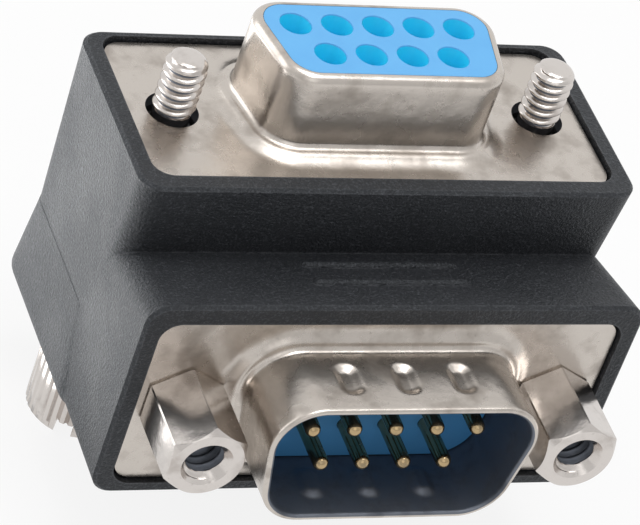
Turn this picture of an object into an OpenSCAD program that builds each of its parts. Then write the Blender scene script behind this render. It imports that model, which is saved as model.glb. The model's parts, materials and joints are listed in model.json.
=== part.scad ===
// Right-angle D-sub adapter: a nine-way plug in front and a nine-way socket on top, joined inside one
// moulded housing, with two thumbscrews through it and two jack nuts on the plug.
// The origin is the centre of the plug flange's front face. The plug faces -Y and the socket faces +Z.

/* [Contacts] */
// Distance between neighbours in a row of contacts
pitch = 2.77; // [2.72:0.01:2.80]
// Distance between the two rows
row_gap = 2.84; // [2.80:0.01:2.90]
// Radius of a plug pin
pin_r = 0.51; // [0.48:0.01:0.52]
// How far the pin tips stand in front of the plug's flange
pin_reach = 4.5; // [4.2:0.1:5.2]
// Radius of a solder tail
tail_r = 0.35; // [0.25:0.05:0.38]

/* [Shells] */
// Distance between the two screws of a connector
screw_span = 24.99; // [24.90:0.01:25.10]
// Length of a flange
flange_w = 30.8; // [30.6:0.1:30.9]
// Height of a flange
flange_h = 12.9; // [12.5:0.1:13.0]
// Thickness of the sheet that both shells are drawn from
sheet = 0.45; // [0.40:0.05:0.48]
// Height of a D above its flange
shell_h = 5.85; // [5.7:0.05:6.1]
// Outer corner radius of the socket's D
socket_r = 2.3; // [2.2:0.05:2.4]
// Outer corner radius of the plug's D
plug_r = 3.05; // [3.0:0.05:3.1]

/* [Housing] */
// Distance from the plug's flange back to the middle of the socket
socket_y = 13.1; // [13.0:0.1:13.6]
// Height of the socket's flange above the middle of the plug
socket_z = 12; // [12:0.1:12.5]
// How far the rims stand proud of the flanges
rim_proud = 0.38; // [0.2:0.02:0.6]
// Half the housing's length at its two rims
rim_half = 16.7; // [16.4:0.1:17.5]
// Half the housing's length at its waist, on the parting line
waist_half = 16.45; // [16.2:0.05:16.5]
// Height of the parting line
waist_z = -0.3; // [-1:0.1:0.5]
// Top of the plug's rim
front_top = 8.0; // [7.8:0.1:8.4]
// Bottom of the plug's rim
front_bottom = -7.45; // [-8:0.05:-7.4]
// Length of the two grip ribs in the inner corner
rib_len = 9.9; // [6:0.1:14]

/* [Screws] */
// Radius of the thumbscrew's knurled head
head_r = 3.2; // [3:0.1:3.6]
// Lowest point of the thumbscrew's head
head_bottom = -13.3; // [-14:0.1:-12]
// Number of ridges in the head's straight knurl
knurl_count = 34; // [24:1:40]
// Tip of the thumbscrew
screw_tip = 16.2; // [15:0.1:17]
// Outer radius of the screw thread
thread_r = 1.42; // [1.40:0.01:1.42]
// Width of a jack nut across its flats
nut_flats = 4.76; // [4.7:0.01:5]
// Height of a jack nut
nut_h = 5.55; // [4.8:0.05:5.8]

/* [Hidden] */
$fn = 48;
eps = 0.01;
side_inset = 0.002;       // sets the D's flat sides in from its corner circles, so that they cross cleanly

nickel = [0.78, 0.76, 0.72];
steel = [0.72, 0.72, 0.72];
black = [0.13, 0.13, 0.14];
blue = [0.31, 0.66, 0.95];
gold = [0.80, 0.68, 0.42];
board_green = [0.10, 0.35, 0.20];

// The D: centres of its corner radii, shared by both connectors, wide side towards +Y
d_lean = 10;
d_half_height = 1.6;
d_wide = 5.87;
d_narrow = d_wide - 2 * d_half_height * tan(d_lean);
d_corners = [[d_narrow, -d_half_height], [d_wide, d_half_height],
             [-d_wide, d_half_height], [-d_narrow, -d_half_height]];
d_starts = [270, 360 - d_lean, 90, 180 + d_lean];
d_turns = [90 - d_lean, 90 + d_lean, 90 + d_lean, 90 - d_lean];

// The shoulder at the foot of a drawn D: three bends, each [radius, slope before, slope after]
foot_bends = [[0.8, 0, 65], [0.5, 65, 10], [0.35, 10, 90]];
foot_spread = 0.8 * sin(65) + 0.5 * (sin(65) - sin(10)) + 0.35 * (1 - sin(10));
brim_r = 13;             // reaches past the flange's corners before the flange is trimmed
d_step = 10;             // turn of one facet round the D's corners
lip_r = 0.6;             // rolled front edge of the socket's shell
dimple_r = 1.1;          // radius of the tool that presses the plug's grounding dimples
dimple_depth = 0.3;
dimple_len = 1.1;
dimple_pitch = 3.78;
dimple_h = 2.5;          // height of the dimples above the plug's flange

stack = 2 * sheet;       // the front and back flanges lie on each other
tray_w = 19.4;           // outside of a back shell
tray_h = 10.9;
tray_end = 6.4;          // depth of a back shell behind its flange's front
tray_corner = 1.4;
tray_lip = 1.4;
window_gap = 0.15;       // play of a flange in its window
flange_corner = 1.3;
screw_x = screw_span / 2;
plug_face = 0.68;        // height of the plug's insulator in its cup
insulator_step = 0.15;   // how far the insulator's step stands out under the shell's shoulder
fit = 0.03;              // play between parts pressed together

hole_mouth_r = 1.05;     // funnel of a socket hole
hole_throat_r = 0.62;
funnel_h = 1.3;
throat_h = 0.5;
contact_r = 0.8;
contact_bore_r = 0.53;

board_z = 3.6;           // underside of the board
board_t = 1.6;
board_half = 9.5;
board_y0 = 7.0;
board_y1 = 18.6;
ledge = 0.6;             // ledge of the housing under the board's edge
plug_tail_y = [8.3, 10.1];   // where the tails of the plug's wide and narrow rows turn up
tail_bend = 0.7;
plug_tail_top = 5.45;
socket_tail_end = 3.1;

notch_y = 5.9;           // inner corner between the housing's two legs
notch_z = 6.8;
soft = 0.22;             // softened edge of the rims
parting_step = 0.02;     // step at the parting line
housing_r = 1.5;         // upright and bottom edges of the housing
rim_top = socket_z + rim_proud;
rim_front = socket_y - 7.85;
rim_back = socket_y + 7.15;
back_waist = rim_back - 0.3;
back_bottom = rim_back + 0.45;
bottom_z = front_bottom - 0.2;
front_slope = (front_top - notch_z) / (notch_y + rim_proud);
upper_slope = (notch_y - rim_front) / (rim_top - notch_z);
rib_r = 0.3;
rib_ys = [2.4, 4.4];
bore_r = 1.86;           // thumbscrew bore in the housing
shank_r = 1.80;
neck_r = 1.2;
neck_z = 10.8;           // top of the shank, under the flange, which it can't pass
thread_z = socket_z + 0.1;
tip_chamfer = 0.45;
head_top = bottom_z - 0.15;
knurl_depth = 0.18;
slot_w = 1.2;
slot_depth = 1.3;
slot_turn = 59;          // direction of the slot from X, with the screw done up
flange_hole_r = 1.7;
jack_hole_r = 1.45;
jack_hole_depth = 4.9;
jack_mouth_r = 1.65;
stud_r = 1.4;
stud_len = 3.6;
lock_nut_h = 1.9;
nut_pocket_r = 3.0;

// Where a contact sits: 1 to 5 in the wide row, 6 to 9 in the narrow one, counted from -X
function contact_x(i) = i <= 5 ? (i - 3) * pitch : (i - 7.5) * pitch;
function contact_v(i) = i <= 5 ? row_gap / 2 : -row_gap / 2;

// Points of one bend, which starts at p with slope a and ends with slope b, going inwards and up
function bend(p, r, a, b, steps = 5) =
    let (k = b > a ? 1 : -1)
    [for (s = [1:steps]) let (t = a + (b - a) * s / steps)
        [p[0] - k * r * (sin(t) - sin(a)), p[1] + k * r * (cos(a) - cos(t))]];
function last(v) = v[len(v) - 1];
function reversed(v) = [for (i = [len(v) - 1:-1:0]) v[i]];

// Surface of the sheet from the brim of the flange up to the D's wall. The inner surface has the same
// bends, one sheet thickness deeper, so the wall keeps its thickness.
function foot(r, inner = 0) =
    let (p0 = [r + foot_spread, -inner],
         a = bend(p0, foot_bends[0][0] + inner, foot_bends[0][1], foot_bends[0][2], 4),
         b = bend(last(a), foot_bends[1][0] - inner, foot_bends[1][1], foot_bends[1][2], 3),
         c = bend(last(b), foot_bends[2][0] + inner, foot_bends[2][1], foot_bends[2][2], 3))
    concat([[brim_r, -inner], p0], a, b, c);

// Section of the socket's shell, whose edge rolls in over the insulator
function socket_section(r) =
    concat(foot(r), [[r, shell_h - lip_r]], bend([r, shell_h - lip_r], lip_r, 90, 0, 4),
           reversed(concat(foot(r, sheet), [[r - sheet, shell_h - lip_r]],
                           bend([r - sheet, shell_h - lip_r], lip_r - sheet, 90, 0, 2))));

// Section of the plug's shell, whose edge is rounded over
function plug_section(r) =
    concat(foot(r), [[r, shell_h - sheet / 2]], bend([r, shell_h - sheet / 2], sheet / 2, 90, -90, 6),
           reversed(foot(r, sheet)));

// Sweeps a closed section round the D as one skin: X is the distance out from the corner centres,
// Y is height. The section runs inwards along its top.
module around_d(section) {
    columns = [for (i = [0:3]) let (steps = d_turns[i] / d_step) for (k = [0:steps])
        [d_corners[i], d_starts[i] + k * d_step]];
    m = len(section);
    n = len(columns);
    polyhedron(points = [for (c = columns) for (p = section)
                   [c[0][0] + p[0] * cos(c[1]), c[0][1] + p[0] * sin(c[1]), p[1]]],
               faces = [for (j = [0:n - 1]) for (i = [0:m - 1])
                   [j * m + i, j * m + (i + 1) % m, (j + 1) % n * m + (i + 1) % m, (j + 1) % n * m + i]]);
}

// Flat D of corner radius r
module d_shape(r) {
    polygon([for (i = [0:3]) for (a = [d_starts[i], d_starts[i] + d_turns[i]])
        d_corners[i] + (r - side_inset) * [cos(a), sin(a)]]);
    for (c = d_corners) translate(c) circle(r);
}

module d_block(r, z0, z1) {
    translate([0, 0, z0]) linear_extrude(z1 - z0) d_shape(r);
}

// Flat rectangle with round corners
module round_rect(w, h, r) {
    square([w - 2 * r, h], center = true);
    square([w, h - 2 * r], center = true);
    for (x = [-1, 1]) for (y = [-1, 1]) translate([x * (w / 2 - r), y * (h / 2 - r)]) circle(r);
}

module round_block(w, h, r, z0, z1) {
    translate([0, 0, z0]) linear_extrude(z1 - z0) round_rect(w, h, r);
}

// Places its child on the plug: the child's +Z points out of the plug and its +Y up
module on_plug() {
    rotate([90, 0, 0]) children();
}

// Places its child on the socket
module on_socket() {
    translate([0, socket_y, socket_z]) children();
}

module at_screws(z0, h, r) {
    for (x = [-screw_x, screw_x]) translate([x, 0, z0]) cylinder(h, r = r);
}

// Drawn shell: flange, shoulder and D in one sheet, with two screw holes. The flange's front is at 0.
module drawn_shell(section, hole_r) {
    difference() {
        intersection() {
            around_d(section);
            round_block(flange_w, flange_h, flange_corner, -1, shell_h + 1);
        }
        at_screws(-sheet - 1, sheet + 2, hole_r);
    }
}

// Back shell: a flange with a deep tray behind it, turned in at its end
module back_shell(hole_r) {
    difference() {
        union() {
            round_block(flange_w, flange_h, flange_corner, -stack, -sheet);
            round_block(tray_w, tray_h, tray_corner, -tray_end, -sheet);
        }
        round_block(tray_w - 2 * sheet, tray_h - 2 * sheet, tray_corner - sheet, -tray_end + sheet, 1);
        round_block(tray_w - 2 * tray_lip, tray_h - 2 * tray_lip, 0.5, -tray_end - 1, 1);
        at_screws(-stack - 1, stack + 1, hole_r);
    }
}

// Rear insulator: fills the tray and carries the contacts
module rear_insulator(hole_r) {
    play = sheet + 0.05;
    difference() {
        round_block(tray_w - 2 * play, tray_h - 2 * play, tray_corner - sheet, -tray_end + sheet, -sheet);
        for (i = [1:9]) translate([contact_x(i), contact_v(i), -tray_end - 1]) cylinder(tray_end + 2, r = hole_r);
    }
}

// ---------------------------------------------------------------- socket

module female_shell() color(nickel) on_socket() drawn_shell(socket_section(socket_r), flange_hole_r);

module female_back_shell() color(nickel) on_socket() back_shell(flange_hole_r);

module socket_hole() rotate_extrude() polygon([
    [0, -sheet - 1], [contact_r + fit, -sheet - 1], [contact_r + fit, shell_h - funnel_h - throat_h],
    [hole_throat_r, shell_h - funnel_h - throat_h], [hole_throat_r, shell_h - funnel_h],
    [hole_mouth_r, shell_h], [hole_mouth_r, shell_h + 1], [0, shell_h + 1]]);

module female_insulator() color(blue) on_socket() difference() {
    union() {
        d_block(socket_r + insulator_step, -sheet, insulator_step);
        d_block(socket_r - sheet - fit, insulator_step - eps, shell_h - lip_r);
        d_block(socket_r - lip_r - fit, shell_h - lip_r - eps, shell_h);
    }
    for (i = [1:9]) translate([contact_x(i), contact_v(i), 0]) socket_hole();
}

module female_rear_insulator() color(blue) on_socket() rear_insulator(contact_r + fit);

// Receptacle contact: a tube split at its mouth, with a solder tail through the board
module female_contact(i) {
    top = shell_h - funnel_h - throat_h - 0.1;
    slot_h = 3.4;
    bore_h = 5.2;
    color(gold) on_socket() translate([-contact_x(i), contact_v(i), 0]) difference() {
        union() {
            translate([0, 0, -tray_end + sheet]) cylinder(top + tray_end - sheet, r = contact_r);
            translate([0, 0, socket_tail_end - socket_z])
                cylinder(socket_z - socket_tail_end - tray_end + sheet + eps, r = tail_r);
        }
        translate([0, 0, top - bore_h]) cylinder(bore_h + 1, r = contact_bore_r);
        translate([-2, -0.12, top - slot_h]) cube([4, 0.24, slot_h + 1]);
    }
}

module female_contact_1() female_contact(1);
module female_contact_2() female_contact(2);
module female_contact_3() female_contact(3);
module female_contact_4() female_contact(4);
module female_contact_5() female_contact(5);
module female_contact_6() female_contact(6);
module female_contact_7() female_contact(7);
module female_contact_8() female_contact(8);
module female_contact_9() female_contact(9);

// ---------------------------------------------------------------- plug

// Long round-ended tool that presses a grounding dimple, along the shell's depth
module dimple_tool(r) {
    translate([0, 0, -dimple_len / 2]) cylinder(dimple_len, r = r);
    for (s = [-1, 1]) translate([0, 0, s * dimple_len / 2]) sphere(r);
}

module at_dimples() {
    wall = d_half_height + plug_r;
    for (k = [-1:1]) for (side = [-1, 1])
        translate([k * dimple_pitch, side * (wall + dimple_r - dimple_depth), dimple_h]) children();
}

module male_shell() color(nickel) on_plug() difference() {
    union() {
        drawn_shell(plug_section(plug_r), stud_r + 0.1);
        intersection() {
            at_dimples() dimple_tool(dimple_r + sheet - 0.05);
            d_block(plug_r - sheet / 2, 0, shell_h);
        }
    }
    at_dimples() dimple_tool(dimple_r);
}

module male_back_shell() color(nickel) on_plug() back_shell(stud_r + 0.1);

module male_insulator() color(blue) on_plug() difference() {
    union() {
        d_block(plug_r + insulator_step, -sheet, insulator_step);
        d_block(plug_r - sheet - fit, insulator_step - eps, plug_face);
    }
    for (i = [1:9]) translate([contact_x(i), contact_v(i), -sheet - 1]) cylinder(4, r = pin_r + fit);
}

module male_rear_insulator() color(blue) on_plug() rear_insulator(pin_r + fit);

// Pin with a rounded tip. Its tail turns up to the board.
module male_pin(i) {
    x = contact_x(i);
    z = contact_v(i);
    turn_y = i <= 5 ? plug_tail_y[0] : plug_tail_y[1];
    shaft_end = tray_end - 0.2;
    color(gold) translate([x, 0, z]) {
        on_plug() {
            translate([0, 0, -shaft_end]) cylinder(shaft_end + pin_reach - pin_r, r = pin_r);
            translate([0, 0, pin_reach - pin_r]) sphere(pin_r);
        }
        translate([0, shaft_end - eps, 0]) rotate([-90, 0, 0])
            cylinder(turn_y - tail_bend - shaft_end + eps, r = tail_r);
        translate([0, turn_y - tail_bend, tail_bend]) rotate([90, 0, 90])
            rotate_extrude(angle = 90, start = 270) translate([tail_bend, 0]) circle(tail_r, $fn = 24);
        translate([0, turn_y, tail_bend]) cylinder(plug_tail_top - z - tail_bend, r = tail_r);
    }
}

module male_pin_1() male_pin(1);
module male_pin_2() male_pin(2);
module male_pin_3() male_pin(3);
module male_pin_4() male_pin(4);
module male_pin_5() male_pin(5);
module male_pin_6() male_pin(6);
module male_pin_7() male_pin(7);
module male_pin_8() male_pin(8);
module male_pin_9() male_pin(9);

// ---------------------------------------------------------------- inside

module circuit_board() color(board_green) difference() {
    translate([-board_half, board_y0, board_z]) cube([2 * board_half, board_y1 - board_y0, board_t]);
    for (i = [1:9]) for (y = [socket_y + contact_v(i), i <= 5 ? plug_tail_y[0] : plug_tail_y[1]])
        translate([contact_x(i), y, board_z - 1]) cylinder(board_t + 2, r = tail_r + 0.05);
}

// ---------------------------------------------------------------- fasteners

// Hexagon with points at top and bottom
module hexagon(flats, h) {
    rotate([0, 0, 90]) cylinder(h, r = flats / 2 / cos(30), $fn = 6);
}

module jack_nut(side) color(steel) translate([side * screw_x, 0, 0]) on_plug() difference() {
    corner = nut_flats / 2 / cos(30);
    union() {
        intersection() {
            hexagon(nut_flats, nut_h);
            rotate_extrude() polygon([[0, 0], [corner + 0.2, 0], [corner + 0.2, nut_h - 0.45],
                                      [nut_flats / 2 - 0.1, nut_h], [0, nut_h]]);
        }
        translate([0, 0, -stud_len]) cylinder(stud_len + eps, r = stud_r);
    }
    translate([0, 0, nut_h - jack_hole_depth]) cylinder(jack_hole_depth + 1, r = jack_hole_r);
    translate([0, 0, nut_h - 0.3]) cylinder(0.3 + eps, jack_hole_r, jack_mouth_r);
}

module jack_nut_left() jack_nut(-1);
module jack_nut_right() jack_nut(1);

module lock_nut(side) color(steel) translate([side * screw_x, 0, 0]) on_plug() difference() {
    translate([0, 0, -stack - lock_nut_h]) hexagon(nut_flats, lock_nut_h);
    translate([0, 0, -stack - lock_nut_h - 1]) cylinder(lock_nut_h + 2, r = stud_r + fit);
}

module lock_nut_left() lock_nut(-1);
module lock_nut_right() lock_nut(1);

// Outline of the straight-knurled head: one ridge and one groove for each step
module knurl_shape() {
    step = 360 / knurl_count;
    polygon([for (k = [0:knurl_count - 1]) for (p = [[0, head_r], [0.35, head_r], [0.68, head_r - knurl_depth]])
        p[1] * [cos((k + p[0]) * step), sin((k + p[0]) * step)]]);
}

module thumbscrew(side) color(steel) translate([side * screw_x, socket_y, 0]) difference() {
    union() {
        intersection() {
            translate([0, 0, head_bottom]) linear_extrude(head_top - head_bottom) knurl_shape();
            rotate_extrude() polygon([[0, head_bottom], [head_r - 0.5, head_bottom], [head_r + 0.1, head_bottom + 0.5],
                                      [head_r + 0.1, head_top - 0.3], [head_r - 0.3, head_top], [0, head_top]]);
        }
        translate([0, 0, head_top - eps]) cylinder(neck_z - head_top + eps, r = shank_r);
        translate([0, 0, neck_z - eps]) cylinder(thread_z - neck_z + 2 * eps, r = neck_r);
        translate([0, 0, thread_z]) cylinder(screw_tip - tip_chamfer - thread_z, r = thread_r);
        translate([0, 0, screw_tip - tip_chamfer - eps]) cylinder(tip_chamfer + eps, thread_r, thread_r - tip_chamfer);
    }
    rotate([0, 0, slot_turn]) translate([-head_r - 1, -slot_w / 2, head_bottom - 1])
        cube([2 * head_r + 2, slot_w, slot_depth + 1]);
}

module thumbscrew_left() thumbscrew(-1);
module thumbscrew_right() thumbscrew(1);

// ---------------------------------------------------------------- housing

// Thin rounded slab in plan, from which the housing's legs are lofted
module plan_slab(half, y0, y1, r, z) {
    for (x = [-1, 1]) for (y = [y0 + r, y1 - r]) translate([x * (half - r), y, z]) cylinder(eps, r = r, $fn = 32);
}

// Thin rounded slab seen from the front
module front_slab(half, z0, z1, r, y) {
    for (x = [-1, 1]) for (z = [z0 + r, z1 - r])
        translate([x * (half - r), y, z]) rotate([-90, 0, 0]) cylinder(eps, r = r, $fn = 32);
}

// Leg that carries the socket: it flares out to the rim on all sides
module upper_leg() {
    waist_front = notch_y + upper_slope * (notch_z - waist_z);
    hull() {
        plan_slab(rim_half - soft, rim_front + soft, rim_back - soft, housing_r - soft, rim_top - eps);
        plan_slab(rim_half, rim_front, rim_back, housing_r, rim_top - soft);
        plan_slab(waist_half, waist_front, back_waist, housing_r, waist_z);
    }
}

// Leg that carries the plug
module lower_leg() {
    deep_y = notch_y + 3;
    deep_top = front_top - front_slope * (deep_y + rim_proud);
    hull() {
        front_slab(rim_half - soft, front_bottom + soft, front_top - soft, housing_r - soft, -rim_proud);
        front_slab(rim_half, front_bottom, front_top, housing_r, soft - rim_proud);
        front_slab(waist_half, bottom_z, deep_top, housing_r, deep_y);
    }
}

// Back of the housing below the parting line, with rounded bottom edges
module lower_back() {
    hull() {
        plan_slab(waist_half + parting_step, notch_y + 2, back_waist + parting_step, housing_r, waist_z - eps);
        for (x = [-1, 1]) for (y = [notch_y + 2, back_bottom - housing_r])
            translate([x * (rim_half - housing_r), y, bottom_z + housing_r]) sphere(housing_r, $fn = 32);
    }
}

// Window, tray pocket and screw room behind one flange
module connector_room(room_h) {
    round_block(flange_w + 2 * window_gap, flange_h + 2 * window_gap, flange_corner, -stack, 3);
    round_block(tray_w + 0.2, tray_h + 0.2, tray_corner, -room_h, 0);
}

module ribs() {
    for (y = rib_ys) translate([-rib_len / 2, y, front_top - front_slope * (y + rim_proud)]) {
        rotate([0, 90, 0]) cylinder(rib_len, r = rib_r);
        for (x = [0, rib_len]) translate([x, 0, 0]) sphere(rib_r);
    }
}

module housing() color(black) difference() {
    room_half = board_half + 0.2;
    union() {
        upper_leg();
        lower_leg();
        lower_back();
        ribs();
    }
    on_plug() connector_room(tray_end + 0.2);
    on_socket() connector_room(socket_z - board_z - board_t);
    // room for the board, above its ledge
    translate([-room_half, board_y0 - 0.2, board_z])
        cube([2 * room_half, board_y1 - board_y0 + 0.4, socket_z - board_z - tray_end]);
    // room for the tails, inside the ledge
    translate([ledge - board_half, board_y0 + ledge, -tray_h / 2])
        cube([2 * (board_half - ledge), plug_tail_y[1] + 1.5 - board_y0 - ledge, board_z + tray_h / 2 + eps]);
    translate([ledge - board_half, board_y0 + ledge, socket_tail_end - 0.3])
        cube([2 * (board_half - ledge), board_y1 - board_y0 - 2 * ledge, board_z - socket_tail_end + 0.3 + eps]);
    translate([ledge - board_half, tray_end, -tray_h / 2])
        cube([2 * (board_half - ledge), 2, tray_h]);
    // pockets for the lock nuts and bores for the thumbscrews
    on_plug() at_screws(-stack - stud_len, stud_len + 1, nut_pocket_r);
    translate([0, socket_y, 0]) at_screws(bottom_z - 2, rim_top - bottom_z + 4, bore_r);
}

housing();
female_shell();
female_back_shell();
female_insulator();
female_rear_insulator();
female_contact_1();
female_contact_2();
female_contact_3();
female_contact_4();
female_contact_5();
female_contact_6();
female_contact_7();
female_contact_8();
female_contact_9();
male_shell();
male_back_shell();
male_insulator();
male_rear_insulator();
male_pin_1();
male_pin_2();
male_pin_3();
male_pin_4();
male_pin_5();
male_pin_6();
male_pin_7();
male_pin_8();
male_pin_9();
circuit_board();
thumbscrew_left();
thumbscrew_right();
jack_nut_left();
jack_nut_right();
lock_nut_left();
lock_nut_right();
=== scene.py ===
# Right-angle adapter: a nine-way D socket on top, a nine-way D plug in front, two long thumbscrews.
# Drawn here are both front shells, the thumbscrews and the jack nuts; all else keeps its CAD shape.
import json
import math

import bmesh
import bpy
from mathutils import Matrix, Quaternion, Vector


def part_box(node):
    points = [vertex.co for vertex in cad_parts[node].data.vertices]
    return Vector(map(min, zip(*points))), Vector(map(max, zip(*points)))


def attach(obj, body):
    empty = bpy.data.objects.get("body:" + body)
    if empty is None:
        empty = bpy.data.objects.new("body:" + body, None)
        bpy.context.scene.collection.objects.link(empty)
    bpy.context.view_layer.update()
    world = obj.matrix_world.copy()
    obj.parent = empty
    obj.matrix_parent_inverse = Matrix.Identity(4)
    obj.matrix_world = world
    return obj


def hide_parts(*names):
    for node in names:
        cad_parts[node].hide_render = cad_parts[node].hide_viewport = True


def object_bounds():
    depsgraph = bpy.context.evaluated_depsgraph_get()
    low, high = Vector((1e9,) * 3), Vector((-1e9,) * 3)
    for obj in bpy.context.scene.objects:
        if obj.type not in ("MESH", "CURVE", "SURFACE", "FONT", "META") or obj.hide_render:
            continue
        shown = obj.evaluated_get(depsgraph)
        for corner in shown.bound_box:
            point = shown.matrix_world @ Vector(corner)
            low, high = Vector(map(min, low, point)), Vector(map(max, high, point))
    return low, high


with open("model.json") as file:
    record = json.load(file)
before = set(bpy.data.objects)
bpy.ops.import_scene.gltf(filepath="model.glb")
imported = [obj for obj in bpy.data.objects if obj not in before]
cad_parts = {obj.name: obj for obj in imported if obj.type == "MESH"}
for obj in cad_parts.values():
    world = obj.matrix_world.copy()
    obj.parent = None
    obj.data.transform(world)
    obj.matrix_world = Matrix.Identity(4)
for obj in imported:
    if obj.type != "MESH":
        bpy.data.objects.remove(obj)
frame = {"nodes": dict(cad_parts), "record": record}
cad_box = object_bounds()

# ---------------------------------------------------------------- sizes, in millimetres

MM = 0.001
ALIKE = 0.01            # two lengths this close count as equal
TURN_STEPS = 48         # sides of every round form
SHEET = 0.45            # sheet of both shells
SHELL_H = 5.85          # height of a D above its flange
SOCKET_R = 2.3          # outer corner radius of the socket's D
PLUG_R = 3.05           # outer corner radius of the plug's D
D_LEAN = 10             # lean of the D's short sides, in degrees
D_HALF_HEIGHT = 1.6     # corner centres from the D's middle line
D_WIDE = 5.87           # corner centres of its long side from its middle, and of its short side
D_NARROW = D_WIDE - 2 * D_HALF_HEIGHT * math.tan(math.radians(D_LEAN))
CORNER_STEP = 5         # degrees between columns of the skin at a D's corner
SOCKET_GAPS = (1.0, 0.5)    # spacing of the points along a straight wall and up it, in each shell
PLUG_GAPS = (0.12, 0.13)
LIP_R = 0.6             # rolled front edge of the socket's shell
LIP_STEPS = 8
RIM_STEPS = 12          # steps over the half-round rim of the plug's shell
FOOT_BENDS = [(1.6, 0, 38), (0.7, 38, 6), (0.42, 6, 90)]   # radius, slope before, slope after
FOOT_STEPS = 6
FOOT_SPREAD = sum(r * abs(math.sin(math.radians(after)) - math.sin(math.radians(before)))
                  for r, before, after in FOOT_BENDS)
FLANGE_W = 30.8
FLANGE_H = 12.9
FLANGE_CORNER = 1.3
FLANGE_STEPS = 8        # steps round one of its corners
SOCKET_HOLE_R = 1.7     # screw holes in the two flanges
PLUG_HOLE_R = 1.5
DIMPLE_PITCH = 3.78     # grounding dimples in the plug's long walls
DIMPLE_H = 3.05         # their middle above the flange
DIMPLE_HALF_W = 0.9
DIMPLE_HALF_LEN = 1.4
DIMPLE_CORNER = 0.8
DIMPLE_WALL = 0.65      # run of the soft wall round each dimple
DIMPLE_DEPTH = 0.28
THREAD_PITCH = 0.635    # 40 turns to the inch
THREAD_STEPS = 16       # steps over one turn's form
SCREW_R = 1.36
SCREW_ROOT_R = 1.02
HOLE_R = 1.42
HOLE_CREST_R = 1.12
VALLEY_SHARE = 0.84     # the screws' thread valleys deeper than this share of its depth get painted shade
NUT_FLATS = 4.76
NUT_H = 5.55
NUT_CHAMFER_R = 2.34    # where the front chamfer meets the front face
NUT_CHAMFER = 1.0       # drop of that chamfer for each millimetre outwards
NUT_BASE_CHAMFER = 0.14
NUT_EDGE_WEAR = 0.035   # blunting of the six edges
STUD_R = 1.4
STUD_LEN = 3.6
STUD_CHAMFER = 0.3
MOUTH_R = 1.65          # wide mouth of the threaded hole
MOUTH_SLOPE = 0.8
HOLE_DEPTH = 4.9
HOLE_BRIGHT_DEPTH = 0.8     # the thread is lit down to here; deeper, it gets painted shade
KNURLS = 34
KNURL_DEPTH = 0.2
KNURL_FORM = (0.0, 0.0, 0.0, 0.0, 0.0, 0.7, 1.0, 0.7)   # shares of the depth over one knurl
HEAD_R = 3.2
HEAD_TOP = -7.8
HEAD_LOWER_EDGE = [(0.62, 0.0), (0.5, 0.03), (0.22, 0.27), (0.0, 0.52)]   # inset, distance from the end
HEAD_UPPER_EDGE = [(0.0, 0.34), (0.1, 0.2), (0.28, 0.03), (0.36, 0.0)]
SLOT_W = 1.2
SLOT_DEPTH = 1.3
SLOT_TURN = 59          # direction of the slot from X, in degrees
SHANK_R = 1.8
SHANK_CHAMFER = 0.2
NECK_R = 1.2
NECK_Z = 10.8           # start of the neck, and of the thread above it
THREAD_Z = 12.1
THREAD_START_SLOPE = 1.5
TIP_H = 0.75            # height of the rounded end, and radius of its flat
TIP_R = 0.62

mounts = {m["name"]: Vector(m["pos_m"]) for m in frame["record"]["mounts"]}
screw_x = mounts["jack_right"].x
socket_place = Matrix.Translation(mounts["socket"])
plug_place = Matrix.Rotation(math.radians(90), 4, "X")
screw_bottom, screw_top = (corner.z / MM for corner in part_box("thumbscrew_left"))


# ---------------------------------------------------------------- mesh helpers

def finished(name, bm, place, sharp=35):
    """Turns a mesh drawn in millimetres into an object in the frame, with crisp edges above an angle."""
    weld = 1e-4
    bmesh.ops.remove_doubles(bm, verts=bm.verts, dist=weld)
    bmesh.ops.dissolve_degenerate(bm, dist=weld, edges=bm.edges)
    bmesh.ops.delete(bm, geom=[e for e in bm.edges if not e.link_faces], context="EDGES")
    bmesh.ops.delete(bm, geom=[v for v in bm.verts if not v.link_faces], context="VERTS")
    bmesh.ops.recalc_face_normals(bm, faces=bm.faces)
    bmesh.ops.scale(bm, vec=(MM, MM, MM), verts=bm.verts)
    bm.transform(place)
    for face in bm.faces:
        face.smooth = True
    mesh = bpy.data.meshes.new(name)
    bm.to_mesh(mesh)
    bm.free()
    mesh.set_sharp_from_angle(angle=math.radians(sharp))
    piece = bpy.data.objects.new(name, mesh)
    bpy.context.scene.collection.objects.link(piece)
    return piece


def stand_for(piece, solid, body):
    """A piece takes a solid's place on its body, and the solid is hidden."""
    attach(piece, body)
    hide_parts(solid)


def skin(bm, rings, finish=0):
    """Quads between neighbouring rings of points; each ring closes on itself."""
    rows = [[bm.verts.new(p) for p in points] for points in rings]
    for low, high in zip(rows, rows[1:]):
        n = len(low)
        for i in range(n):
            bm.faces.new((low[i], low[(i + 1) % n], high[(i + 1) % n], high[i])).material_index = finish


def turn_angles(n=TURN_STEPS):
    return [2 * math.pi * k / n for k in range(n)]


def ring(radius, height, angles, x=0.0):
    """A ring of points; radius is a number or a rule that gives one for each angle."""
    points = []
    for a in angles:
        r = radius(a) if callable(radius) else radius
        points.append((x + r * math.cos(a), r * math.sin(a), height))
    return points


def flat_sheet(bm, *loops):
    """Flat sheet between an outline and the outlines of its holes."""
    edges = []
    for loop in loops:
        verts = [bm.verts.new(p) for p in loop]
        edges += [bm.edges.new((verts[i], verts[(i + 1) % len(verts)])) for i in range(len(verts))]
    bmesh.ops.triangle_fill(bm, edges=edges, use_beauty=True)


# ---------------------------------------------------------------- drawn D shells

def bend(start, radius, before, after, steps):
    """Points of a bend in a section, which runs inwards and up."""
    turn = 1 if after > before else -1
    a0 = math.radians(before)
    points = []
    for s in range(1, steps + 1):
        a = math.radians(before + (after - before) * s / steps)
        points.append((start[0] - turn * radius * (math.sin(a) - math.sin(a0)),
                       start[1] + turn * radius * (math.cos(a0) - math.cos(a))))
    return points


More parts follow.
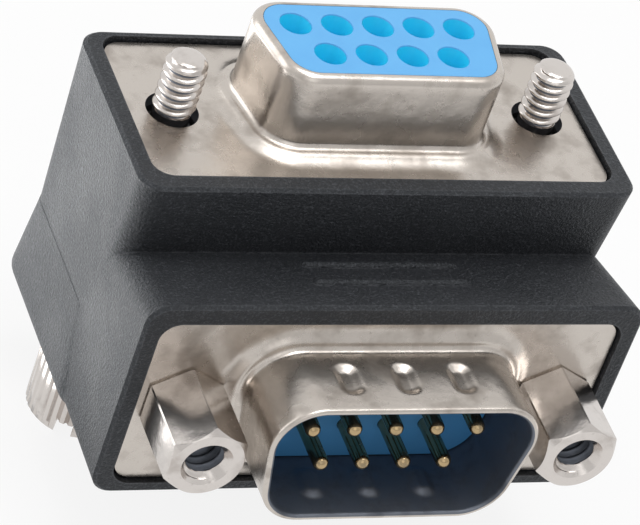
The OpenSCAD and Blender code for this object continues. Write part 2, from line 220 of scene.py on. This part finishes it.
def foot(r, inner=0.0):
    """The shoulder between the flange and the D's wall, or the face a sheet's thickness inside it."""
    points = [(r + FOOT_SPREAD, -inner)]
    for (radius, before, after), hollow in zip(FOOT_BENDS, (1, -1, 1)):
        points += bend(points[-1], radius + hollow * inner, before, after, FOOT_STEPS)
    return points


def wall(r, low, high, gap):
    """Points up a straight wall."""
    n = max(1, round((high - low) / gap))
    return [(r, low + (high - low) * k / n) for k in range(1, n + 1)]


def socket_section():
    """Section of the socket's shell, and how many of its points are on the outside."""
    gap = SOCKET_GAPS[1]
    outer = foot(SOCKET_R)
    outer += wall(SOCKET_R, outer[-1][1], SHELL_H - LIP_R, gap)
    outer += bend(outer[-1], LIP_R, 90, 0, LIP_STEPS)
    inner = foot(SOCKET_R, SHEET)
    inner += wall(SOCKET_R - SHEET, inner[-1][1], SHELL_H - LIP_R, gap)
    inner += bend(inner[-1], LIP_R - SHEET, 90, 0, LIP_STEPS // 2)
    return outer + inner[::-1], len(outer)


def plug_section():
    """Section of the plug's shell, and how many of its points are outside the middle of its rim."""
    gap = PLUG_GAPS[1]
    outer = foot(PLUG_R)
    outer += wall(PLUG_R, outer[-1][1], SHELL_H - SHEET / 2, gap)
    outer += bend(outer[-1], SHEET / 2, 90, -90, RIM_STEPS)
    inner = foot(PLUG_R, SHEET)
    inner += wall(PLUG_R - SHEET, inner[-1][1], SHELL_H - SHEET / 2, gap)
    return outer + inner[:-1][::-1], len(outer) - RIM_STEPS // 2


def d_columns(gap):
    """Centre and direction of each column of the skin round a D.

    The direction turns at the D's corners, and the centre moves in even steps between them.
    """
    centres = [Vector(c) for c in ((D_NARROW, -D_HALF_HEIGHT), (D_WIDE, D_HALF_HEIGHT),
                                   (-D_WIDE, D_HALF_HEIGHT), (-D_NARROW, -D_HALF_HEIGHT))]
    starts = (270, 360 - D_LEAN, 90, 180 + D_LEAN)
    turns = (90 - D_LEAN, 90 + D_LEAN, 90 + D_LEAN, 90 - D_LEAN)
    columns = []
    for i, centre in enumerate(centres):
        steps = turns[i] // CORNER_STEP
        columns += [(centre, math.radians(starts[i] + k * CORNER_STEP)) for k in range(steps + 1)]
        after = centres[(i + 1) % 4]
        n = max(1, round((after - centre).length / gap))
        columns += [(centre.lerp(after, k / n), math.radians(starts[i] + turns[i])) for k in range(1, n)]
    return columns


def dimple(x, h):
    """How deep the grounding dimples press a long wall in at this place."""
    k = max(-1, min(1, round(x / DIMPLE_PITCH)))
    across = max(0.0, abs(x - k * DIMPLE_PITCH) - DIMPLE_HALF_W + DIMPLE_CORNER)
    along = max(0.0, abs(h - DIMPLE_H) - DIMPLE_HALF_LEN + DIMPLE_CORNER)
    inside = min(1.0, max(0.0, (DIMPLE_CORNER - math.hypot(across, along)) / DIMPLE_WALL))
    return DIMPLE_DEPTH * inside * inside * (3 - 2 * inside)


def drawn_shell(name, shape, r, hole_r, place, gap, dimples=False):
    """Front shell in one piece: the drawn D, its shoulder, and the flat flange with two holes."""
    section, outside = shape
    bm = bmesh.new()
    sections = []
    for centre, a in d_columns(gap):
        out = Vector((math.cos(a), math.sin(a)))
        in_long_wall = abs(out.x) < ALIKE
        points = []
        for reach, h in section:
            if dimples and in_long_wall and reach < r + ALIKE:
                reach -= dimple(centre.x, h)
            spot = centre + out * reach
            points.append((spot.x, spot.y, h))
        sections.append(points)
    rows = [[bm.verts.new(p) for p in points] for points in sections]
    for one, two in zip(rows, rows[1:] + rows[:1]):
        for i in range(len(section) - 1):
            face = bm.faces.new((one[i], one[i + 1], two[i + 1], two[i]))
            # Faces inside the shell take the second finish, painted shade.
            face.material_index = int(i >= outside)
    levels = (0.0, -SHEET)
    holes = [[ring(hole_r, level, turn_angles(), side * screw_x / MM) for level in levels]
             for side in (-1, 1)]
    rims = [flange_rim(level) for level in levels]
    for k, end in enumerate((0, -1)):
        flat_sheet(bm, rims[k], [points[end] for points in sections], *[hole[k] for hole in holes])
    skin(bm, rims)
    # The walls of the screw holes take painted shade.
    for hole in holes:
        skin(bm, hole, 1)
    return finished(name, bm, place)


def flange_rim(level):
    """Outline of a flange, with round corners."""
    points = []
    for i, (sx, sy) in enumerate(((1, 1), (-1, 1), (-1, -1), (1, -1))):
        for k in range(FLANGE_STEPS + 1):
            a = math.radians(90 * (i + k / FLANGE_STEPS))
            points.append((sx * (FLANGE_W / 2 - FLANGE_CORNER) + FLANGE_CORNER * math.cos(a),
                           sy * (FLANGE_H / 2 - FLANGE_CORNER) + FLANGE_CORNER * math.sin(a), level))
    return points


# ---------------------------------------------------------------- screws and nuts

THREAD_FORM = [(k / THREAD_STEPS, 0.5 - 0.5 * math.cos(2 * math.pi * k / THREAD_STEPS))
               for k in range(THREAD_STEPS)]   # share of a pitch, share of the depth


def thread(bm, crest, root, low, high, limit, shaded_below=-math.inf, shaded_share=math.inf):
    """Skin of a helical thread from height low to high. limit(r, h) shapes its two ends.

    Faces take painted shade, the second finish, below a height and in the form's valleys deeper than a given
    share.
    """
    m = len(THREAD_FORM)
    rows = m * (math.ceil((high - low) / THREAD_PITCH) + 2)
    columns = []
    for j, a in enumerate(turn_angles()):
        column = []
        for k in range(rows):
            share, depth = THREAD_FORM[k % m]
            h = low + THREAD_PITCH * (k // m - 1 + share + j / TURN_STEPS)
            h = max(low, min(high, h))
            r = limit(crest + (root - crest) * depth, h)
            column.append(bm.verts.new((r * math.cos(a), r * math.sin(a), h)))
        columns.append(column)
    for j in range(TURN_STEPS):
        shift = m if j == TURN_STEPS - 1 else 0
        one, two = columns[j], columns[(j + 1) % TURN_STEPS]
        for k in range(rows - 1):
            if k + 1 + shift < rows:
                face = bm.faces.new((one[k], two[k + shift], two[k + 1 + shift], one[k + 1]))
                # Faces deep in a valley or below a height take painted shade.
                depth = min(THREAD_FORM[k % m][1], THREAD_FORM[(k + 1) % m][1])
                in_valley = depth >= shaded_share and high - one[k].co.z > TIP_H
                face.material_index = int(in_valley or one[k].co.z < shaded_below)


def disc(bm, r, h):
    """Round end of a turned form."""
    bm.faces.new([bm.verts.new(p) for p in ring(r, h, turn_angles())])


def slotted(bm, cutter_size, cutter_place):
    """Cuts a screwdriver slot across a closed mesh."""
    cutter_mesh = bmesh.new()
    bmesh.ops.create_cube(cutter_mesh, size=1.0, matrix=cutter_place @ Matrix.Diagonal((*cutter_size, 1)))
    blank = finished("blank", bm, Matrix.Identity(4))
    cutter = finished("cutter", cutter_mesh, Matrix.Identity(4))
    cut = blank.modifiers.new("slot", "BOOLEAN")
    cut.object, cut.solver = cutter, "EXACT"
    bpy.context.view_layer.update()
    result = bpy.data.meshes.new_from_object(blank.evaluated_get(bpy.context.evaluated_depsgraph_get()))
    bm = bmesh.new()
    bm.from_mesh(result)
    bmesh.ops.scale(bm, vec=(1 / MM,) * 3, verts=bm.verts)
    bpy.data.objects.remove(blank)
    bpy.data.objects.remove(cutter)
    return bm


def dome(drop):
    """Radius of the rounded end of a screw, at a distance below its top."""
    share = min(1.0, drop / TIP_H)
    return TIP_R + (SCREW_R - TIP_R) * math.sqrt(share * (2 - share))


def thumbscrew_piece(name, side):
    """Long screw: knurled and slotted head, plain shank, thinner neck, threaded end."""
    bm = bmesh.new()
    angles = turn_angles(KNURLS * len(KNURL_FORM))
    groove = {a: KNURL_DEPTH * KNURL_FORM[i % len(KNURL_FORM)] for i, a in enumerate(angles)}
    profile = [(HEAD_R - inset, screw_bottom + up) for inset, up in HEAD_LOWER_EDGE]
    profile += [(HEAD_R - inset, HEAD_TOP - down) for inset, down in HEAD_UPPER_EDGE]
    head = [ring(lambda a, r=r: min(r, HEAD_R - groove[a]), h, angles) for r, h in profile]
    skin(bm, head)
    shank = [(SHANK_R, HEAD_TOP), (SHANK_R, NECK_Z - SHANK_CHAMFER), (SHANK_R - SHANK_CHAMFER, NECK_Z),
             (NECK_R, NECK_Z), (NECK_R, THREAD_Z), (SCREW_ROOT_R, THREAD_Z)]
    skin(bm, [ring(r, h, turn_angles()) for r, h in shank])
    flat_sheet(bm, head[0])
    flat_sheet(bm, head[-1], ring(SHANK_R, HEAD_TOP, turn_angles()))
    # The thread's deep valleys take painted shade.
    thread(bm, SCREW_R, SCREW_ROOT_R, THREAD_Z, screw_top,
           lambda r, h: min(r, dome(screw_top - h), SCREW_ROOT_R + THREAD_START_SLOPE * (h - THREAD_Z)),
           shaded_share=VALLEY_SHARE)
    disc(bm, dome(0), screw_top)
    below = 1.0     # the cutter starts this far under the head
    bm = slotted(bm, (3 * HEAD_R, SLOT_W, SLOT_DEPTH + below),
                 Matrix.Translation((0, 0, screw_bottom + (SLOT_DEPTH - below) / 2))
                 @ Matrix.Rotation(math.radians(SLOT_TURN), 4, "Z"))
    place = Matrix.Translation((side * screw_x, mounts["socket"].y, 0))
    return finished(name, bm, place, sharp=42)


def hexagon_angles(per_flat=8, soft=1.3):
    """Directions round a hexagon with points at top and bottom, closer together at its corners."""
    angles = []
    for k in range(6):
        corner = 90 + 60 * k
        angles += [corner - soft, corner, corner + soft]
        angles += [corner + 60 * s / per_flat for s in range(1, per_flat)]
    return [math.radians(a) for a in angles]


def hexagon_r(a):
    """Distance of the hexagon's outline from its middle, in a direction."""
    off = (math.degrees(a) - 90) % 60
    flat = NUT_FLATS / 2 / math.cos(math.radians(30 - off))
    corner = NUT_FLATS / 2 / math.cos(math.radians(30)) - NUT_EDGE_WEAR
    return min(flat, corner)


def jack_nut_piece(name, side):
    """Hexagon jack nut: chamfered front, threaded hole, and the stud that holds it."""
    bm = bmesh.new()
    angles = hexagon_angles()
    base = ring(lambda a: hexagon_r(a) - NUT_BASE_CHAMFER, 0.0, angles)
    back = ring(hexagon_r, NUT_BASE_CHAMFER, angles)
    front = [(x, y, NUT_H - (math.hypot(x, y) - NUT_CHAMFER_R) * NUT_CHAMFER) for x, y, _ in back]
    face = ring(NUT_CHAMFER_R, NUT_H, angles)
    skin(bm, [base, back, front, face])
    flat_sheet(bm, face, ring(MOUTH_R, NUT_H, turn_angles()))
    flat_sheet(bm, base, ring(STUD_R, 0.0, turn_angles()))
    stud = [(STUD_R, 0.0), (STUD_R, STUD_CHAMFER - STUD_LEN), (STUD_R - STUD_CHAMFER, -STUD_LEN)]
    skin(bm, [ring(r, h, turn_angles()) for r, h in stud])
    disc(bm, STUD_R - STUD_CHAMFER, -STUD_LEN)
    bottom = NUT_H - HOLE_DEPTH
    # The thread deeper in the hole takes painted shade.
    thread(bm, HOLE_CREST_R, HOLE_R, bottom, NUT_H,
           lambda r, h: max(r, MOUTH_R - MOUTH_SLOPE * (NUT_H - h), HOLE_R - MOUTH_SLOPE * (h - bottom)),
           shaded_below=NUT_H - HOLE_BRIGHT_DEPTH)
    disc(bm, HOLE_R, bottom)
    place = Matrix.Translation((side * screw_x, 0, 0)) @ plug_place
    return finished(name, bm, place, sharp=25)


# ---------------------------------------------------------------- shader groups

def new_group(name, inputs, outputs):
    """An empty shader group with named sockets."""
    group = bpy.data.node_groups.new(name, "ShaderNodeTree")
    for label, kind, value in inputs:
        socket = group.interface.new_socket(label, in_out="INPUT", socket_type=kind)
        socket.default_value = value
    for label, kind in outputs:
        group.interface.new_socket(label, in_out="OUTPUT", socket_type=kind)
    return group, group.nodes.new("NodeGroupInput"), group.nodes.new("NodeGroupOutput")


def node(tree, kind, **settings):
    """A new node with its settings."""
    placed = tree.nodes.new(kind)
    for key, value in settings.items():
        setattr(placed, key, value)
    return placed


def feed(tree, value, socket):
    """Links an output to a socket, or sets the socket to a plain value."""
    if hasattr(value, "is_linked"):
        tree.links.new(value, socket)
    else:
        socket.default_value = value


def times(tree, value, factor):
    """A value multiplied by a number."""
    scaled = node(tree, "ShaderNodeMath", operation="MULTIPLY")
    scaled.inputs[1].default_value = factor
    tree.links.new(value, scaled.inputs[0])
    return scaled.outputs[0]


def noise_in(tree, scale, detail=4.0, roughness=0.55):
    """Noise fixed to the piece, with its scale per millimetre on a socket or as a number."""
    per_metre = node(tree, "ShaderNodeMath", operation="MULTIPLY")
    feed(tree, scale, per_metre.inputs[0])
    per_metre.inputs[1].default_value = 1 / MM
    noise = node(tree, "ShaderNodeTexNoise")
    noise.inputs["Detail"].default_value = detail
    noise.inputs["Roughness"].default_value = roughness
    tree.links.new(node(tree, "ShaderNodeTexCoord").outputs["Object"], noise.inputs["Vector"])
    tree.links.new(per_metre.outputs[0], noise.inputs["Scale"])
    return noise.outputs["Fac"]


def between(tree, value, low, high, to_low=0.0, to_high=1.0):
    """Value spread from one range to another, held at the ends."""
    spread = node(tree, "ShaderNodeMapRange", interpolation_type="SMOOTHSTEP")
    feed(tree, value, spread.inputs["Value"])
    for label, number in (("From Min", low), ("From Max", high), ("To Min", to_low), ("To Max", to_high)):
        feed(tree, number, spread.inputs[label])
    return spread.outputs["Result"]


def blend_colours(tree, share, first, second):
    """A colour between two, by the share of the second."""
    mix = node(tree, "ShaderNodeMix", data_type="RGBA")
    share_socket, first_socket, second_socket, result = 0, 6, 7, 2     # those of a colour mix
    feed(tree, share, mix.inputs[share_socket])
    feed(tree, first, mix.inputs[first_socket])
    feed(tree, second, mix.inputs[second_socket])
    return mix.outputs[result]


def product(tree, first, second):
    """Two masks multiplied."""
    both = node(tree, "ShaderNodeMath", operation="MULTIPLY")
    tree.links.new(first, both.inputs[0])
    tree.links.new(second, both.inputs[1])
    return both.outputs[0]


def patches_group():
    """Soft patches of any size, such as tarnish, smears and worn spots."""
    group, ins, outs = new_group("Patches", [("Scale", "NodeSocketFloat", 0.3),
                                             ("Cover", "NodeSocketFloat", 0.5),
                                             ("Softness", "NodeSocketFloat", 0.12)],
                                 [("Mask", "NodeSocketFloat")])
    value = noise_in(group, ins.outputs["Scale"], detail=5.0)
    flip = node(group, "ShaderNodeMath", operation="SUBTRACT")
    flip.inputs[0].default_value = 1.0
    group.links.new(ins.outputs["Cover"], flip.inputs[1])
    low = node(group, "ShaderNodeMath", operation="SUBTRACT")
    high = node(group, "ShaderNodeMath", operation="ADD")
    for math_node in (low, high):
        group.links.new(flip.outputs[0], math_node.inputs[0])
        group.links.new(ins.outputs["Softness"], math_node.inputs[1])
    group.links.new(between(group, value, low.outputs[0], high.outputs[0]), outs.inputs["Mask"])
    return group


def edge_group():
    """Mask of the edges of a piece, where the face turns within a width, broken up by noise."""
    group, ins, outs = new_group("Edge rub", [("Width", "NodeSocketFloat", 0.2 * MM),
                                              ("Breaks", "NodeSocketFloat", 0.8)],
                                 [("Mask", "NodeSocketFloat")])
    soft = node(group, "ShaderNodeBevel", samples=6)
    group.links.new(ins.outputs["Width"], soft.inputs["Radius"])
    true = node(group, "ShaderNodeNewGeometry")
    match = node(group, "ShaderNodeVectorMath", operation="DOT_PRODUCT")
    group.links.new(soft.outputs[0], match.inputs[0])
    group.links.new(true.outputs["Normal"], match.inputs[1])
    turned = between(group, match.outputs["Value"], 0.995, 0.86)
    broken = between(group, noise_in(group, ins.outputs["Breaks"], detail=6.0), 0.32, 0.6)
    group.links.new(product(group, turned, broken), outs.inputs["Mask"])
    return group


def grain_group():
    """Fine moulded grain: sand and rounder pits, as a height."""
    pits_per_grain = 0.55
    group, ins, outs = new_group("Moulded grain", [("Scale", "NodeSocketFloat", 7.0)],
                                 [("Height", "NodeSocketFloat")])
    fine = noise_in(group, ins.outputs["Scale"], detail=3.0, roughness=0.6)
    cells = node(group, "ShaderNodeTexVoronoi", feature="F1")
    group.links.new(node(group, "ShaderNodeTexCoord").outputs["Object"], cells.inputs["Vector"])
    group.links.new(times(group, ins.outputs["Scale"], pits_per_grain / MM), cells.inputs["Scale"])
    both = node(group, "ShaderNodeMath", operation="ADD")
    group.links.new(fine, both.inputs[0])
    group.links.new(times(group, cells.outputs["Distance"], 0.5), both.inputs[1])
    group.links.new(both.outputs[0], outs.inputs["Height"])
    return group


PATCHES, EDGE_RUB, GRAIN = patches_group(), edge_group(), grain_group()


# ---------------------------------------------------------------- materials

def new_material(name, **plain):
    """A material with one Principled shader; plain gives the values that are the same all over."""
    material = bpy.data.materials.new(name)
    material.use_nodes = True
    shader = material.node_tree.nodes["Principled BSDF"]
    for label, value in plain.items():
        shader.inputs[label.replace("_", " ")].default_value = value
    return material, material.node_tree, shader


def use(tree, group, **values):
    """The output of a shader group placed with its own values."""
    placed = node(tree, "ShaderNodeGroup", node_tree=group)
    for label, value in values.items():
        placed.inputs[label].default_value = value
    return placed.outputs[0]


def bump(tree, shader, height, strength, depth):
    """Relief of a depth in millimetres on a shader."""
    relief = node(tree, "ShaderNodeBump")
    relief.inputs["Strength"].default_value = strength
    relief.inputs["Distance"].default_value = depth * MM
    tree.links.new(height, relief.inputs["Height"])
    tree.links.new(relief.outputs["Normal"], shader.inputs["Normal"])


def moulded_black():
    """Black plastic from a spark-eroded mould: sandy grain, pale rub on the edges, dust, and fine pale flecks
    that are painted glints of the grain.
    """
    material, tree, shader = new_material("moulded_black", Specular_IOR_Level=0.5, Sheen_Weight=0.06,
                                          Sheen_Roughness=0.3, Sheen_Tint=(0.86, 0.91, 1.0, 1),
                                          Specular_Tint=(0.90, 0.95, 1.0, 1))
    worn = use(tree, EDGE_RUB, Width=0.25 * MM, Breaks=1.6)
    smears = use(tree, PATCHES, Scale=0.16, Cover=0.5, Softness=0.2)
    dust = use(tree, PATCHES, Scale=4.2, Cover=0.36, Softness=0.04)
    painted_glints = use(tree, PATCHES, Scale=6.0, Cover=0.42, Softness=0.04)
    base = blend_colours(tree, smears, (0.0056, 0.0061, 0.0080, 1), (0.0088, 0.0094, 0.0116, 1))
    base = blend_colours(tree, times(tree, dust, 0.45), base, (0.034, 0.035, 0.040, 1))
    base = blend_colours(tree, times(tree, worn, 0.8), base, (0.085, 0.088, 0.096, 1))
    # Pale flecks painted into the colour: painted glints of the sandy grain.
    base = blend_colours(tree, times(tree, painted_glints, 0.7), base, (0.055, 0.058, 0.065, 1))
    tree.links.new(base, shader.inputs["Base Color"])
    tree.links.new(between(tree, smears, 0.0, 1.0, 0.46, 0.56), shader.inputs["Roughness"])
    bump(tree, shader, use(tree, GRAIN, Scale=9.0), strength=1.0, depth=0.10)
    return material


def nickel(name, bright, dull, rough, waves):
    """Satin nickel plate with smears, darker specks, fine sandy grain and slow waves in the metal.

    rough is the roughness of its bright parts and of its dull ones, and waves is how high the slow
    waves are beside the sand.
    """
    material, tree, shader = new_material(name, Metallic=1.0)
    smears = use(tree, PATCHES, Scale=0.42, Cover=0.4, Softness=0.15)
    specks = use(tree, PATCHES, Scale=3.4, Cover=0.32, Softness=0.06)
    colour = blend_colours(tree, smears, bright, dull)
    speck = tuple(0.5 * level for level in dull[:3]) + (1,)
    colour = blend_colours(tree, times(tree, specks, 0.25), colour, speck)
    tree.links.new(colour, shader.inputs["Base Color"])
    tree.links.new(between(tree, smears, 0.0, 1.0, *rough), shader.inputs["Roughness"])
    height = node(tree, "ShaderNodeMath", operation="MULTIPLY_ADD")
    tree.links.new(noise_in(tree, 0.45, detail=2.0), height.inputs[0])
    height.inputs[1].default_value = waves
    tree.links.new(noise_in(tree, 4.5, detail=4.0, roughness=0.62), height.inputs[2])
    bump(tree, shader, height.outputs[0], strength=0.4, depth=0.014)
    return material


def blue_moulding():
    """Blue plastic: pale on the socket's face; a brighter, greener cyan in its holes as painted light; a
    darker blue deep in the plug as painted shade.
    """
    material, tree, shader = new_material("blue_moulding", IOR=1.5)
    tint = use(tree, PATCHES, Scale=0.5, Cover=0.5, Softness=0.2)
    face = blend_colours(tree, tint, (0.125, 0.455, 0.87, 1), (0.145, 0.485, 0.89, 1))
    place = node(tree, "ShaderNodeSeparateXYZ")
    tree.links.new(node(tree, "ShaderNodeTexCoord").outputs["Object"], place.inputs[0])
    height = place.outputs["Z"]
    flange = mounts["socket"].z
    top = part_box("female_insulator")[1].z
    in_socket = between(tree, height, flange, flange + 0.5 * MM)
    below_face = between(tree, height, top - 0.12 * MM, top - 0.04 * MM, 1.0, 0.0)
    # Below the socket's flange, in the plug's cup, a darker blue: painted shade.
    base = blend_colours(tree, in_socket, (0.055, 0.25, 0.53, 1), face)
    in_hole = product(tree, below_face, in_socket)
    # Hole walls a brighter, greener cyan than the face: painted light in the holes.
    base = blend_colours(tree, in_hole, base, (0.025, 0.66, 0.97, 1))
    tree.links.new(base, shader.inputs["Base Color"])
    tree.links.new(between(tree, tint, 0.0, 1.0, 0.34, 0.46), shader.inputs["Roughness"])
    bump(tree, shader, noise_in(tree, 5.0, detail=3.0), strength=0.12, depth=0.01)
    return material


def gold_plate():
    """Thin gold on the contacts, worn in patches."""
    material, tree, shader = new_material("gold_plate", Metallic=1.0)
    worn = use(tree, PATCHES, Scale=1.4, Cover=0.4, Softness=0.12)
    base = blend_colours(tree, worn, (0.46, 0.34, 0.19, 1), (0.28, 0.22, 0.14, 1))
    tree.links.new(base, shader.inputs["Base Color"])
    tree.links.new(between(tree, worn, 0.0, 1.0, 0.14, 0.3), shader.inputs["Roughness"])
    bump(tree, shader, noise_in(tree, 5.0, detail=3.0), strength=0.15, depth=0.008)
    return material


def board_laminate():
    """Green board with a faint mottle."""
    material, tree, shader = new_material("board_laminate")
    weave = use(tree, PATCHES, Scale=2.2, Cover=0.5, Softness=0.2)
    base = blend_colours(tree, weave, (0.012, 0.085, 0.035, 1), (0.02, 0.12, 0.05, 1))
    tree.links.new(base, shader.inputs["Base Color"])
    tree.links.new(between(tree, weave, 0.0, 1.0, 0.3, 0.42), shader.inputs["Roughness"])
    return material


MATERIALS = {
    "housing": moulded_black(),
    "shell": nickel("shell_nickel", (0.57, 0.525, 0.48, 1), (0.37, 0.33, 0.295, 1), (0.27, 0.37), 9.0),
    # Darker, bluish copy of the nickel: painted shade for the shells' insides, hole walls, deep thread and
    # the back shells; its blue is a painted reflection of the insulators.
    "inside": nickel("painted_shade_nickel", (0.17, 0.185, 0.215, 1), (0.10, 0.11, 0.13, 1), (0.55, 0.70), 4.0),
    "screw": nickel("screw_nickel", (0.64, 0.60, 0.57, 1), (0.45, 0.41, 0.38, 1), (0.18, 0.28), 7.0),
    "insulator": blue_moulding(),
    "contact": gold_plate(),
    "board": board_laminate(),
}


# ---------------------------------------------------------------- pieces

def dress(piece, *finishes):
    """Puts finishes on a piece; the finish number of each face picks one."""
    for finish in finishes:
        piece.data.materials.append(MATERIALS[finish])


def round_off(piece, sharp=32):
    """Even shading over a solid's facets, with crisp edges above an angle."""
    normals = piece.data.attributes.get("custom_normal")
    if normals:
        piece.data.attributes.remove(normals)
    piece.data.shade_smooth()
    joined = piece.modifiers.new("joined", "WELD")
    joined.merge_threshold = 1e-4 * MM
    crisp = piece.modifiers.new("crisp", "EDGE_SPLIT")
    crisp.split_angle = math.radians(sharp)


slot_of = {s["node"]: s["material_slot"] for s in frame["record"]["subparts"]}
for name, solid in frame["nodes"].items():
    solid.data.materials.clear()
    # The back shells take the darker nickel of painted shade.
    dress(solid, "inside" if name.endswith("back_shell") else slot_of[name])
    round_off(solid)

socket_shell = drawn_shell("socket_shell", socket_section(), SOCKET_R, SOCKET_HOLE_R, socket_place,
                           SOCKET_GAPS[0])
plug_shell = drawn_shell("plug_shell", plug_section(), PLUG_R, PLUG_HOLE_R, plug_place,
                         PLUG_GAPS[0], dimples=True)
drawn = [
    (socket_shell, "female_shell", "adapter"),
    (plug_shell, "male_shell", "adapter"),
    (thumbscrew_piece("thumbscrew_l", -1), "thumbscrew_left", "left_screw"),
    (thumbscrew_piece("thumbscrew_r", 1), "thumbscrew_right", "right_screw"),
    (jack_nut_piece("jack_nut_l", -1), "jack_nut_left", "adapter"),
    (jack_nut_piece("jack_nut_r", 1), "jack_nut_right", "adapter"),
]
for piece, solid, body in drawn:
    # Second finish: the darker nickel of painted shade.
    dress(piece, slot_of[solid], "inside")
    stand_for(piece, solid, body)


# ---------------------------------------------------------------- studio

FLOOR_HALF = 1500       # half its side, in millimetres
FLOOR_GLOW = 0.86       # share of plain white in the floor where it is seen or mirrored
SURROUND_LEVEL = 0.5    # brightness of the room as a light
FRONT_LEVEL = 0.75      # brightness of the room in front of the part, beside the rest of it
LAMPS = [("key", (0.03, -0.05, 0.60), 0.50),
         ("window", (-0.42, 0.26, 0.16), 0.30),
         ("front", (-0.12, -0.50, 0.30), 0.08)]   # name, place in metres, level on a facing white surface
LAMP_SIZE = 0.40
PANEL_PLACE = (-0.065, 0.055)   # glowing panel on the floor behind the left end, as on a light table
PANEL_LIFT = 0.0005             # metres above the floor
PANEL_SIZE = 0.09
PANEL_GLOW = 2.8
EYE = (-103.43, -159.6, 154.3)  # camera, in millimetres
AIM = (0.4116, 0.6787, -0.6083)
TILT = 20.58                    # roll of the horizon, in degrees
LENS = 222.7
SENSOR = 36
SHIFT = (-0.002, 0.001)


def any_of(tree, *values):
    """The highest of several masks."""
    total = values[0]
    for value in values[1:]:
        either = node(tree, "ShaderNodeMath", operation="MAXIMUM")
        tree.links.new(total, either.inputs[0])
        tree.links.new(value, either.inputs[1])
        total = either.outputs[0]
    return total


def lamp_at(label, place, toward, size, power):
    """A square lamp that the camera doesn't see."""
    lamp = bpy.data.lights.new(label, "AREA")
    lamp.shape, lamp.size, lamp.energy = "SQUARE", size, power
    holder = bpy.data.objects.new(label, lamp)
    holder.location = place
    holder.rotation_mode = "QUATERNION"
    holder.rotation_quaternion = (Vector(toward) - Vector(place)).to_track_quat("-Z", "Y")
    holder.visible_camera = False
    bpy.context.scene.collection.objects.link(holder)


def studio():
    """Pale floor under the knobs, a white surround and soft lamps."""
    floor_z = cad_box[0].z
    bm = bmesh.new()
    bmesh.ops.create_grid(bm, x_segments=8, y_segments=8, size=FLOOR_HALF)
    floor = finished("floor", bm, Matrix.Translation((0, 0, floor_z)))
    material, tree, shader = new_material("pale_floor", Roughness=0.9)
    shade = use(tree, PATCHES, Scale=0.004, Cover=0.5, Softness=0.3)
    pale = blend_colours(tree, shade, (0.90, 0.90, 0.90, 1), (0.93, 0.93, 0.93, 1))
    tree.links.new(pale, shader.inputs["Base Color"])
    path = node(tree, "ShaderNodeLightPath").outputs
    shown = any_of(tree, path["Is Camera Ray"], path["Is Glossy Ray"], path["Is Transmission Ray"])
    mixed = node(tree, "ShaderNodeMixShader")
    tree.links.new(times(tree, shown, FLOOR_GLOW), mixed.inputs[0])
    tree.links.new(shader.outputs[0], mixed.inputs[1])
    tree.links.new(node(tree, "ShaderNodeEmission").outputs[0], mixed.inputs[2])
    tree.links.new(mixed.outputs[0], tree.nodes["Material Output"].inputs["Surface"])
    floor.data.materials.append(material)

    world = bpy.data.worlds.new("surround")
    world.use_nodes = True
    bpy.context.scene.world = world
    tree = world.node_tree
    sky = tree.nodes["Background"]
    sky.inputs["Color"].default_value = (1, 1, 1, 1)
    path = node(tree, "ShaderNodeLightPath").outputs
    way = node(tree, "ShaderNodeSeparateXYZ")
    tree.links.new(node(tree, "ShaderNodeTexCoord").outputs["Generated"], way.inputs[0])
    room = between(tree, way.outputs["Y"], -0.75, 0.15, FRONT_LEVEL, 1.0)
    mirrored = any_of(tree, path["Is Glossy Ray"], path["Is Transmission Ray"])
    level = between(tree, mirrored, 0.0, 1.0, times(tree, room, SURROUND_LEVEL), room)
    tree.links.new(between(tree, path["Is Camera Ray"], 0.0, 1.0, level, 1.0), sky.inputs["Strength"])

    for label, place, level in LAMPS:
        lamp_at(label, place, (0, 0, 0), LAMP_SIZE, level * (math.pi * Vector(place).length) ** 2)
    panel_power = PANEL_GLOW * math.pi * PANEL_SIZE ** 2
    lamp_at("light_table", (*PANEL_PLACE, floor_z + PANEL_LIFT), (*PANEL_PLACE, 1.0), PANEL_SIZE, panel_power)


def camera():
    """Long lens from the front left, above, with the horizon tilted."""
    data = bpy.data.cameras.new("camera")
    data.lens, data.sensor_width = LENS, SENSOR
    data.shift_x, data.shift_y = SHIFT
    data.clip_start, data.clip_end = 0.01, 20
    roll = Quaternion((0, 0, 1), math.radians(TILT))
    holder = bpy.data.objects.new("camera", data)
    holder.location = Vector(EYE) * MM
    holder.rotation_mode = "QUATERNION"
    holder.rotation_quaternion = Vector(AIM).to_track_quat("-Z", "Y") @ roll
    bpy.context.scene.collection.objects.link(holder)
    bpy.context.scene.camera = holder


studio()
camera()
bpy.context.scene.view_settings.view_transform = "Standard"
